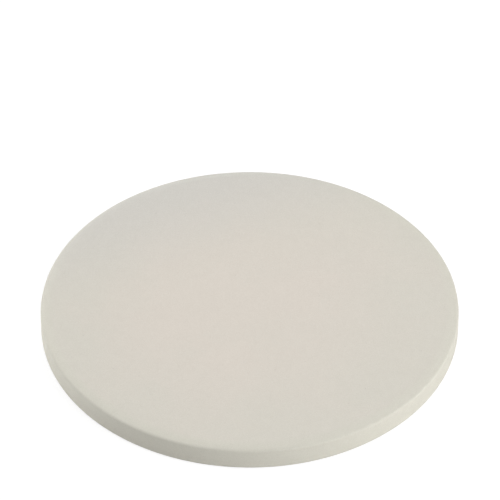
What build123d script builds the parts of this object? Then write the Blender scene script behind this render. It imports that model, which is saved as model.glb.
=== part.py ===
from build123d import *
from math import atan2, cos, sin
import os

# Round pizza stone: one solid slab of pressed and fired ceramic, flat on both faces.
# It has no rack, handle, foot or insert, so it is a single piece with a single node.
# Units are millimetres and +Z is up. The origin is the centre of the underside.

# Slab
stone_diameter = 355.0
stone_thickness = 22.2

# Rim of the baking face: the face rolls down over a broad shallow shoulder,
# and a small round corner then turns it into the upright wall
shoulder_width = 9.3
shoulder_drop = 1.5
corner_radius = 2.2

# Rim of the underside: one round edge between the wall and the flat that it rests on
underside_edge_radius = 3.0


def slab_section():
    """Half of the slab's section, from its axis out to the wall, on the XZ plane."""
    radius = stone_diameter / 2
    # The shoulder is an arc that leaves the flat face along it and has turned down by this angle at its end
    shoulder_angle = 2 * atan2(shoulder_drop, shoulder_width)
    shoulder_end_x = radius - corner_radius * (1 - sin(shoulder_angle))
    shoulder_end_z = stone_thickness - shoulder_drop
    wall_top = shoulder_end_z - corner_radius * cos(shoulder_angle)
    with BuildSketch(Plane.XZ) as section:
        with BuildLine():
            underside = Line((0, 0), (radius - underside_edge_radius, 0))
            lower_edge = TangentArc(underside @ 1, (radius, underside_edge_radius), tangent=underside % 1)
            wall = Line(lower_edge @ 1, (radius, wall_top))
            corner = TangentArc(wall @ 1, (shoulder_end_x, shoulder_end_z), tangent=wall % 1)
            flat_end = (shoulder_end_x - shoulder_width, stone_thickness)
            shoulder = TangentArc(corner @ 1, flat_end, tangent=corner % 1)
            Polyline(shoulder @ 1, (0, stone_thickness), (0, 0))
        make_face()
    return section.sketch


def stone():
    """The slab: its section turned once round the upright axis."""
    return revolve(slab_section(), axis=Axis.Z)


os.makedirs("parts", exist_ok=True)
export_step(stone(), "parts/stone.step")
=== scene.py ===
import math
import random

import bmesh
import bpy
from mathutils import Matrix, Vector, kdtree, noise


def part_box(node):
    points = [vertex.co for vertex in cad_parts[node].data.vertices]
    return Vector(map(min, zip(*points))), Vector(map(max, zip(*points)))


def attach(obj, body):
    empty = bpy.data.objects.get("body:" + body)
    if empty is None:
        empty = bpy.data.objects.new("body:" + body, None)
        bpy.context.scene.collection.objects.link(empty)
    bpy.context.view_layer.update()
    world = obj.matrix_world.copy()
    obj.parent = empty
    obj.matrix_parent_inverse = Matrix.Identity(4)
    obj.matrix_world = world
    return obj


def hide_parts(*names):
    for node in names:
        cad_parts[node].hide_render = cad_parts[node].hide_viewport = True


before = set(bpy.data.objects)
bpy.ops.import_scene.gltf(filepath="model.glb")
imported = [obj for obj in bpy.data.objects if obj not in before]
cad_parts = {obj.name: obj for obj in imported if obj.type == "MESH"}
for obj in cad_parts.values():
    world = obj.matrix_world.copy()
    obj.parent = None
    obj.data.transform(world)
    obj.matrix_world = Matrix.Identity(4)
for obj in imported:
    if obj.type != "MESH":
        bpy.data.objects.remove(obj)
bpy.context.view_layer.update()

MM = 0.001

# Slab, from the frame
LOW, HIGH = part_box("stone")
RADIUS = (HIGH.x - LOW.x) / 2
THICKNESS = HIGH.z - LOW.z

# Rim section, as the solid has it
SHOULDER_WIDTH = 9.3 * MM
SHOULDER_DROP = 1.5 * MM
CORNER_RADIUS = 2.2 * MM
UNDERSIDE_EDGE_RADIUS = 3.0 * MM

# Mesh: even triangles on the flats, finer rings over the rim, and finer still round each pit
FACE_STEP = 1.9 * MM
UNDERSIDE_STEP = 3.2 * MM
RIM_STEP = 0.8 * MM
LEAST_ARC_STEPS = 2
# Each ring of a flat has this many more segments than the ring inside it
SEGMENTS_PER_RING = 6
REFINE_LEVELS = 4

# Pressed surface: swells as (how far inside the nominal surface they reach, how long they are)
SWELLS = [(0.16 * MM, 95 * MM), (0.05 * MM, 30 * MM), (0.02 * MM, 10 * MM)]

# Specks that show most on the face, as shares of the radius: across, and away from the camera
SPECK_SHARES = [
    (-0.46, 0.67),
    (0.54, -0.59),
    (-0.84, -0.37),
    (0.26, -0.40),
    (-0.79, -0.22),
    (0.12, -0.46),
    (-0.64, -0.45),
    (0.46, -0.69),
    (-0.52, -0.50),
    (0.34, 0.59),
    (0.81, -0.33),
]
SPECK_RADIUS = 1.1 * MM
SPECK_DEPTH = 0.2 * MM

# Smaller pits, strewn over the whole stone. Their depth is a share of their radius
PIT_SEED = 11
PIT_COUNTS = {"face": 36, "wall": 26, "underside": 40}
PIT_RADII = (0.3 * MM, 0.6 * MM)
PIT_DEPTH_SHARE = 0.35

# The mesh attribute that tells the ceramic how deep in a pit each vertex is, from 0 to 1, for its
# painted shade there
PIT_ATTRIBUTE = "in_pit"


def arc(centre, radius, start, end):
    """Points of an arc in the (radius, height) plane.

    Angles are from the outward direction, in radians.
    """
    steps = max(LEAST_ARC_STEPS, round(abs(end - start) * radius / RIM_STEP))
    angles = [start + (end - start) * i / steps for i in range(steps + 1)]
    return [(centre[0] + radius * math.cos(a), centre[1] + radius * math.sin(a)) for a in angles]


def rim_section():
    """Points (radius, height) over the rim, from the flat face's edge to the flat underside's."""
    up = math.pi / 2
    tilt = 2 * math.atan2(SHOULDER_DROP, SHOULDER_WIDTH)
    wall_top = THICKNESS - SHOULDER_DROP - CORNER_RADIUS * math.cos(tilt)
    wall_height = wall_top - UNDERSIDE_EDGE_RADIUS
    wall_steps = round(wall_height / RIM_STEP)
    corner_centre = (RADIUS - CORNER_RADIUS, wall_top)
    flat_radius = corner_centre[0] + CORNER_RADIUS * math.sin(tilt) - SHOULDER_WIDTH
    shoulder_radius = SHOULDER_WIDTH / math.sin(tilt)
    edge_centre = (RADIUS - UNDERSIDE_EDGE_RADIUS, UNDERSIDE_EDGE_RADIUS)

    shoulder = arc((flat_radius, THICKNESS - shoulder_radius), shoulder_radius, up, up - tilt)
    corner = arc(corner_centre, CORNER_RADIUS, up - tilt, 0)
    wall = [(RADIUS, wall_top - wall_height * i / wall_steps) for i in range(1, wall_steps)]
    edge = arc(edge_centre, UNDERSIDE_EDGE_RADIUS, 0, -up)
    return shoulder + corner[1:] + wall + edge


def ring(bm, radius, height, count):
    """A ring of vertices, evenly spaced round the upright axis."""
    turns = [2 * math.pi * i / count for i in range(count)]
    return [bm.verts.new((radius * math.cos(t), radius * math.sin(t), height)) for t in turns]


def bridge(bm, outer, inner, upward):
    """Triangles between two rings with any number of vertices each."""
    a, b = len(outer), len(inner)
    i = j = 0
    while i < a or j < b:
        if j >= b or (i < a and (i + 1) * b <= (j + 1) * a):
            face = (outer[i % a], outer[(i + 1) % a], inner[j % b])
            i += 1
        else:
            face = (outer[i % a], inner[(j + 1) % b], inner[j % b])
            j += 1
        bm.faces.new(face if upward else face[::-1])


def flat_disc(bm, rim, height, step, upward):
    """Closes a ring with a flat disc of near-even triangles."""
    radius = rim[0].co.xy.length
    rings = round(radius / step)
    outer = rim
    for k in range(rings - 1, 0, -1):
        inner = ring(bm, radius * k / rings, height, SEGMENTS_PER_RING * k)
        bridge(bm, outer, inner, upward)
        outer = inner
    centre = bm.verts.new((0, 0, height))
    for a, b in zip(outer, outer[1:] + outer[:1]):
        bm.faces.new((a, b, centre) if upward else (b, a, centre))


def strewn_pit(draw, zone):
    """A small pit at random in its zone, as (place, radius, depth)."""
    turn = draw.uniform(0, 2 * math.pi)
    if zone == "wall":
        out = RADIUS
        height = draw.uniform(UNDERSIDE_EDGE_RADIUS, THICKNESS - SHOULDER_DROP - CORNER_RADIUS)
    else:
        out = (RADIUS - SHOULDER_WIDTH - CORNER_RADIUS) * math.sqrt(draw.random())
        height = THICKNESS if zone == "face" else 0
    size = draw.uniform(*PIT_RADII)
    place = Vector((out * math.cos(turn), out * math.sin(turn), height))
    return place, size, size * PIT_DEPTH_SHARE


def pits():
    """Every pit as (place, radius, depth): the specks, then those strewn over each zone."""
    specks = [Vector((across * RADIUS, away * RADIUS, THICKNESS)) for across, away in SPECK_SHARES]
    found = [(place, SPECK_RADIUS, SPECK_DEPTH) for place in specks]
    draw = random.Random(PIT_SEED)
    for zone, count in PIT_COUNTS.items():
        found += [strewn_pit(draw, zone) for _ in range(count)]
    return found


def refine(bm, holes):
    """Splits the triangles round each pit until they are fine enough to hold it."""
    for level in range(REFINE_LEVELS):
        bm.faces.ensure_lookup_table()
        tree = kdtree.KDTree(len(bm.faces))
        for face in bm.faces:
            tree.insert(face.calc_center_median(), face.index)
        tree.balance()
        margin = FACE_STEP / 2**level
        # A dict's keys, unlike a set's, come in the same order in each run
        edges = {}
        for place, size, _ in holes:
            for _, index, _ in tree.find_range(place, size + margin):
                edges.update(dict.fromkeys(bm.faces[index].edges))
        bmesh.ops.subdivide_edges(bm, edges=list(edges), cuts=1, use_grid_fill=True)
        bmesh.ops.triangulate(bm, faces=[f for f in bm.faces if len(f.verts) > 3])
        bm.faces.index_update()


def press(bm, holes):
    """Moves every vertex inward by the swells and the pits.

    Returns how deep in a pit each vertex is, from 0 to 1.
    """
    bm.normal_update()
    bm.verts.ensure_lookup_table()
    tree = kdtree.KDTree(len(bm.verts))
    for v in bm.verts:
        tree.insert(v.co, v.index)
    tree.balance()
    inward = [0.0] * len(bm.verts)
    in_pit = [0.0] * len(bm.verts)
    for place, size, depth in holes:
        for _, index, distance in tree.find_range(place, size):
            share = (1 - (distance / size) ** 2) ** 2
            inward[index] += depth * share
            in_pit[index] = max(in_pit[index], share)
    for v in bm.verts:
        for depth, length in SWELLS:
            inward[v.index] += depth * (1 + noise.noise(v.co / length)) / 2
    for v, distance in zip(bm.verts, inward):
        v.co -= v.normal * distance
    return in_pit


def build_stone():
    """The slab as one closed mesh: its section turned round the upright axis, pitted and pressed."""
    bm = bmesh.new()
    section = rim_section()
    flat_radius = section[0][0]
    segments = SEGMENTS_PER_RING * round(flat_radius / FACE_STEP)
    rings = [ring(bm, radius, height, segments) for radius, height in section]
    for upper, lower in zip(rings, rings[1:]):
        bridge(bm, lower, upper, upward=True)
    flat_disc(bm, rings[0], THICKNESS, FACE_STEP, upward=True)
    flat_disc(bm, rings[-1], 0, UNDERSIDE_STEP, upward=False)
    bmesh.ops.recalc_face_normals(bm, faces=bm.faces)
    holes = pits()
    refine(bm, holes)
    bm.verts.index_update()
    in_pit = press(bm, holes)
    mesh = bpy.data.meshes.new("stone_body")
    bm.to_mesh(mesh)
    bm.free()
    mesh.attributes.new(PIT_ATTRIBUTE, "FLOAT", "POINT").data.foreach_set("value", in_pit)
    mesh.shade_smooth()
    stone = bpy.data.objects.new("stone_body", mesh)
    bpy.context.scene.collection.objects.link(stone)
    return stone


# Ceramic: its colours are linear
WARM_CLAY = (0.733, 0.676, 0.604, 1)
# Greyer and darker than the warm clay: partly its own tone, partly painted shade toward the rim
RIM_GREY_AND_SHADE_CLAY = (0.693, 0.664, 0.590, 1)
EDGE_CLAY = (0.697, 0.677, 0.594, 1)
# Painted shade with a cool painted sheen, for the far side
FAR_SHADE_AND_SHEEN_CLAY = (0.626, 0.613, 0.585, 1)
# Dark grain, and also the painted shade in the pits
DARK_GRAIN_AND_SHADE = (0.28, 0.24, 0.19, 1)
PALE_GRAIN = (0.86, 0.84, 0.80, 1)

# How far from the stone's axis the clay turns grey and darker, partly its own grey tone and partly
# painted shade of light falling off from the middle, and then to its edge tone, and how grey and dark
# it gets
RIM_GREY_AND_SHADE_SPAN = (0.3 * RADIUS, RADIUS)
RIM_GREY_AND_SHADE_AMOUNTS = (0.05, 0.95)
EDGE_SPAN = (0.93 * RADIUS, 0.98 * RADIUS)

# Painted shade with a cool painted sheen, behind and a little to the left: the side it lies on, how
# far out, and how much
SHADED_SIDE = (-0.4, 0.92, 0)
SHADED_SIDE_SPAN = (0.3 * RADIUS, RADIUS)
SHADED_SIDE_AMOUNTS = (0.0, 0.6)

# Noises: features to the metre, levels of finer detail, and how strong each is beside the last
CLOUDS = (14, 3, 0.55)
MOTTLE = (160, 4, 0.6)
DUST = (4200, 2, 0.6)
SHEEN = (300, 2, 0.5)
SAND_PER_METRE = 2600
GRIT = (SAND_PER_METRE, 3, 0.6)

# Clouds and sheen: the part of their noise's 0 to 1 that counts, and what it becomes
CLOUD_SPAN = (0.35, 0.65)
CLOUD_AMOUNTS = (-0.15, 0.15)
SHEEN_SPAN = (0.3, 0.7)
ROUGHNESS = (0.78, 0.92)
SPECULAR_LEVEL = 0.25

# Tones over the clay: where in a texture's 0 to 1 each begins and is full, its strength and its colour
MOTTLE_TONE = ((0.3, 0.7), 0.03, DARK_GRAIN_AND_SHADE)
DARK_SAND = ((0.55, 1.0), 0.07, DARK_GRAIN_AND_SHADE)
PALE_SAND = ((0.45, 0.0), 0.16, PALE_GRAIN)
DARK_DUST = ((0.55, 0.75), 0.13, DARK_GRAIN_AND_SHADE)
PALE_DUST = ((0.45, 0.25), 0.28, PALE_GRAIN)
FLECK_STRENGTH = 0.5
# Painted shade in the pits: how much of the dark tone the deepest part of a pit takes
PIT_SHADE_STRENGTH = 0.13

# Dots: cells to the metre, the share of cells that hold one, and its radius and soft edge in cells
FLECKS = (250, 0.05, 0.03, 0.04)
PORES = (900, 0.22, 0.16, 0.22)

# Relief: the sand's height and the pores' depth, in heights of the grit
SAND_HEIGHT = 0.3
PORE_DEPTH = 0.9
RELIEF_STRENGTH = 0.6
RELIEF_DISTANCE = 0.12 * MM

# Places of a Mix node's colour sockets, whose names its other sockets share
MIX_FIRST, MIX_SECOND, MIX_RESULT = 6, 7, 2


class Graph:
    """Short ways to add and link shader nodes. A value may be a plain one or another node's socket."""

    def __init__(self, tree):
        self.nodes, self.links = tree.nodes, tree.links

    def put(self, socket, value):
        """Gives one input its value."""
        if isinstance(value, bpy.types.NodeSocket):
            self.links.new(value, socket)
        else:
            socket.default_value = value

    def fill(self, node, *values):
        """Gives a node's first inputs their values, in order."""
        for socket, value in zip(node.inputs, values):
            self.put(socket, value)
        return node

    def add(self, kind, settings=None, **inputs):
        """A new node. Its inputs have the names of their sockets, with _ for each space."""
        node = self.nodes.new(kind)
        for name, value in (settings or {}).items():
            setattr(node, name, value)
        for name, value in inputs.items():
            self.put(node.inputs[name.replace("_", " ")], value)
        return node

    def math(self, operation, *values):
        node = self.add("ShaderNodeMath", {"operation": operation})
        return self.fill(node, *values).outputs[0]

    def dot(self, first, second):
        node = self.add("ShaderNodeVectorMath", {"operation": "DOT_PRODUCT"})
        return self.fill(node, first, second).outputs["Value"]

    def ramp(self, value, span, amounts=(0.0, 1.0)):
        """value over its span becomes the amounts, smoothly, and stays there beyond its ends."""
        ends = {"From_Min": span[0], "From_Max": span[1], "To_Min": amounts[0], "To_Max": amounts[1]}
        smooth = {"interpolation_type": "SMOOTHSTEP"}
        return self.add("ShaderNodeMapRange", smooth, Value=value, **ends).outputs["Result"]

    def mix(self, factor, first, second):
        node = self.add("ShaderNodeMix", {"data_type": "RGBA"}, Factor=factor)
        self.put(node.inputs[MIX_FIRST], first)
        self.put(node.inputs[MIX_SECOND], second)
        return node.outputs[MIX_RESULT]

    def tint(self, colour, value, span, strength, other):
        """The colour, with the other laid over it as value goes through its span."""
        return self.mix(self.ramp(value, span, (0.0, strength)), colour, other)

    def noise(self, where, per_metre, detail, roughness):
        settings = {"Scale": per_metre, "Detail": detail, "Roughness": roughness}
        return self.add("ShaderNodeTexNoise", Vector=where, **settings).outputs["Fac"]

    def cells(self, where, per_metre):
        """Cells with a tone each, from 0 to 1: that tone, and the distance from the cell's middle."""
        texture = self.add("ShaderNodeTexVoronoi", Vector=where, Scale=per_metre)
        tone = self.add("ShaderNodeSeparateColor", Color=texture.outputs["Color"]).outputs["Red"]
        return tone, texture.outputs["Distance"]

    def dots(self, where, per_metre, share, radius, soft):
        """1 in a round dot in the middle of a share of the cells, fading to 0 over its soft edge."""
        tone, distance = self.cells(where, per_metre)
        chosen = self.math("LESS_THAN", tone, share)
        disc = self.ramp(distance, (radius, radius + soft), (1.0, 0.0))
        return self.math("MULTIPLY", chosen, disc)


def clay(g, where):
    """The clay's colour: warmer in the middle, greyer toward the rim and darker there as painted
    shade, with soft clouds, an edge tone, and painted shade and cool painted sheen on the far side.
    """
    split = g.add("ShaderNodeSeparateXYZ", Vector=where)
    squares = [g.math("POWER", split.outputs[axis], 2) for axis in ("X", "Y")]
    out = g.math("SQRT", g.math("ADD", *squares))
    # Greyer toward the rim, and darker there as painted shade of light falling off from the middle
    rimward_grey_and_shade = g.ramp(out, RIM_GREY_AND_SHADE_SPAN, RIM_GREY_AND_SHADE_AMOUNTS)
    clouds = g.ramp(g.noise(where, *CLOUDS), CLOUD_SPAN, CLOUD_AMOUNTS)
    colour = g.mix(g.math("ADD", rimward_grey_and_shade, clouds), WARM_CLAY, RIM_GREY_AND_SHADE_CLAY)
    colour = g.mix(g.ramp(out, EDGE_SPAN), colour, EDGE_CLAY)
    # Painted shade with a cool painted sheen over the far left side of the stone
    return g.mix(g.ramp(g.dot(where, SHADED_SIDE), SHADED_SIDE_SPAN, SHADED_SIDE_AMOUNTS), colour, FAR_SHADE_AND_SHEEN_CLAY)


def grained(g, where, sand, colour):
    """The colour with its grain: mottling, sand and dust of light and dark tones, flecks, and painted
    shade in the pits.
    """
    colour = g.tint(colour, g.noise(where, *MOTTLE), *MOTTLE_TONE)
    colour = g.tint(colour, sand, *DARK_SAND)
    colour = g.tint(colour, sand, *PALE_SAND)
    dust = g.noise(where, *DUST)
    colour = g.tint(colour, dust, *DARK_DUST)
    colour = g.tint(colour, dust, *PALE_DUST)
    colour = g.mix(g.math("MULTIPLY", g.dots(where, *FLECKS), FLECK_STRENGTH), colour, DARK_GRAIN_AND_SHADE)
    pit = g.add("ShaderNodeAttribute", {"attribute_name": PIT_ATTRIBUTE}).outputs["Fac"]
    # Painted shade: each pit darkened by how deep in it a point lies
    return g.mix(g.math("MULTIPLY", pit, PIT_SHADE_STRENGTH), colour, DARK_GRAIN_AND_SHADE)


def relief(g, where, sand):
    """The surface's fine relief: grit and sand, with open pores sunk into them."""
    pores = g.math("MULTIPLY", g.dots(where, *PORES), PORE_DEPTH)
    grit = g.math("ADD", g.noise(where, *GRIT), g.math("MULTIPLY", sand, SAND_HEIGHT))
    height = g.math("SUBTRACT", grit, pores)
    bump = g.add("ShaderNodeBump", Height=height, Strength=RELIEF_STRENGTH, Distance=RELIEF_DISTANCE)
    return bump.outputs["Normal"]


def ceramic():
    """Unglazed fired ceramic: pale clouded clay, fine grain, sparse flecks and open pores, with
    painted shade toward the rim, on the far side and in the pits.
    """
    material = bpy.data.materials.new("fired_ceramic")
    material.use_nodes = True
    g = Graph(material.node_tree)
    shader = g.nodes["Principled BSDF"]
    where = g.add("ShaderNodeTexCoord").outputs["Object"]
    sand, _ = g.cells(where, SAND_PER_METRE)
    g.put(shader.inputs["Base Color"], grained(g, where, sand, clay(g, where)))
    g.put(shader.inputs["Roughness"], g.ramp(g.noise(where, *SHEEN), SHEEN_SPAN, ROUGHNESS))
    g.put(shader.inputs["Specular IOR Level"], SPECULAR_LEVEL)
    g.put(shader.inputs["Normal"], relief(g, where, sand))
    return material


# Studio: a dim white surround, which the camera sees as plain white
WORLD_LEVEL = 0.19

# Floor: what the camera sees of it is white, less its shadow: a glow plus a share of the light on it
FLOOR_SIZE = 12.0
FLOOR_ALBEDO = 0.8
FLOOR_GLOW = 0.84
FLOOR_SEEN_ALBEDO = 0.24

# Soft boxes: name, degrees from +X, degrees up, and how bright each makes a white card facing it
LIGHTS = [
    ("key_low", -35, 22, 0.515),
    ("key_high", -25, 50, 0.40),
    ("fill", 162, 20, 0.67),
    ("back", 105, 30, 0.355),
]
LIGHT_DISTANCE = 3.0
LIGHT_SIZE = 2.2


def grey(level):
    """A colour of no hue, from black at 0 to white at 1."""
    return (level, level, level, 1)


def softbox(name, azimuth, elevation, level):
    """A square lamp that looks at the stone and makes a white card facing it as bright as level."""
    data = bpy.data.lights.new(name, "AREA")
    data.shape = "SQUARE"
    data.size = LIGHT_SIZE
    data.energy = level * (math.pi * LIGHT_DISTANCE) ** 2
    lamp = bpy.data.objects.new(name, data)
    turn, rise = math.radians(azimuth), math.radians(elevation)
    side = Vector((math.cos(turn) * math.cos(rise), math.sin(turn) * math.cos(rise), math.sin(rise)))
    lamp.location = side * LIGHT_DISTANCE
    lamp.rotation_euler = (-lamp.location).to_track_quat("-Z", "Y").to_euler()
    bpy.context.scene.collection.objects.link(lamp)


def seen_directly(g):
    """1 where the camera, a mirror or glass looks, else 0."""
    path = g.add("ShaderNodeLightPath")
    seen = g.math("MAXIMUM", path.outputs["Is Camera Ray"], path.outputs["Is Glossy Ray"])
    return g.math("MAXIMUM", seen, path.outputs["Is Transmission Ray"])


def white_world():
    """The surround, white where it is looked at and dim as a light."""
    world = bpy.data.worlds.new("studio")
    bpy.context.scene.world = world
    world.use_nodes = True
    g = Graph(world.node_tree)
    strength = g.math("MAXIMUM", seen_directly(g), WORLD_LEVEL)
    background = g.nodes["Background"]
    g.put(background.inputs["Color"], grey(1))
    g.put(background.inputs["Strength"], strength)


def white_floor():
    """The floor that the stone lies on, which looks white to the camera and keeps its shadow."""
    mesh = bpy.data.meshes.new("floor")
    half = FLOOR_SIZE / 2
    corners = [(-half, -half, 0), (half, -half, 0), (half, half, 0), (-half, half, 0)]
    mesh.from_pydata(corners, [], [(0, 1, 2, 3)])
    plane = bpy.data.objects.new("floor", mesh)
    bpy.context.scene.collection.objects.link(plane)
    material = bpy.data.materials.new("studio_floor")
    material.use_nodes = True
    g = Graph(material.node_tree)
    g.nodes.remove(g.nodes["Principled BSDF"])
    lit = g.add("ShaderNodeBsdfDiffuse", Color=grey(FLOOR_ALBEDO))
    seen = g.add("ShaderNodeBsdfDiffuse", Color=grey(FLOOR_SEEN_ALBEDO))
    glow = g.add("ShaderNodeEmission", Strength=FLOOR_GLOW)
    white = g.fill(g.add("ShaderNodeAddShader"), seen.outputs[0], glow.outputs[0])
    mixed = g.fill(g.add("ShaderNodeMixShader"), seen_directly(g), lit.outputs[0], white.outputs[0])
    g.put(g.nodes["Material Output"].inputs["Surface"], mixed.outputs[0])
    mesh.materials.append(material)
    return plane


# Camera: its angle, its distance and how far it sees, then where the photograph has the stone
CAMERA_ELEVATION = math.radians(42.07)
CAMERA_DISTANCE = 20 * RADIUS
CAMERA_REACH = 100.0
PHOTO_WIDTH = 500
PIXELS_PER_RADIUS = 208.7
STONE_CENTRE_PIXEL = (249.5, 314.1)
SENSOR_WIDTH = 36.0


def place_camera():
    """A long lens that looks down at the stone and has the stone's centre on its pixel."""
    focal_pixels = PIXELS_PER_RADIUS * CAMERA_DISTANCE / RADIUS
    data = bpy.data.cameras.new("camera")
    data.sensor_width = SENSOR_WIDTH
    data.lens = focal_pixels / PHOTO_WIDTH * SENSOR_WIDTH
    data.clip_end = CAMERA_REACH
    camera = bpy.data.objects.new("camera", data)
    bpy.context.scene.collection.objects.link(camera)
    back = Vector((0, -math.cos(CAMERA_ELEVATION), math.sin(CAMERA_ELEVATION)))
    camera.location = Vector((0, 0, THICKNESS / 2)) + back * CAMERA_DISTANCE
    off_centre = [pixel - PHOTO_WIDTH / 2 for pixel in STONE_CENTRE_PIXEL]
    across, down = [math.atan(pixels / focal_pixels) for pixels in off_centre]
    camera.rotation_euler = (math.pi / 2 - CAMERA_ELEVATION + down, 0, across)
    bpy.context.scene.camera = camera


stone = build_stone()
stone.data.materials.append(ceramic())
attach(stone, "root")
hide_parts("stone")

for light in LIGHTS:
    softbox(*light)
white_world()
white_floor()
place_camera()
bpy.context.scene.view_settings.view_transform = "Standard"
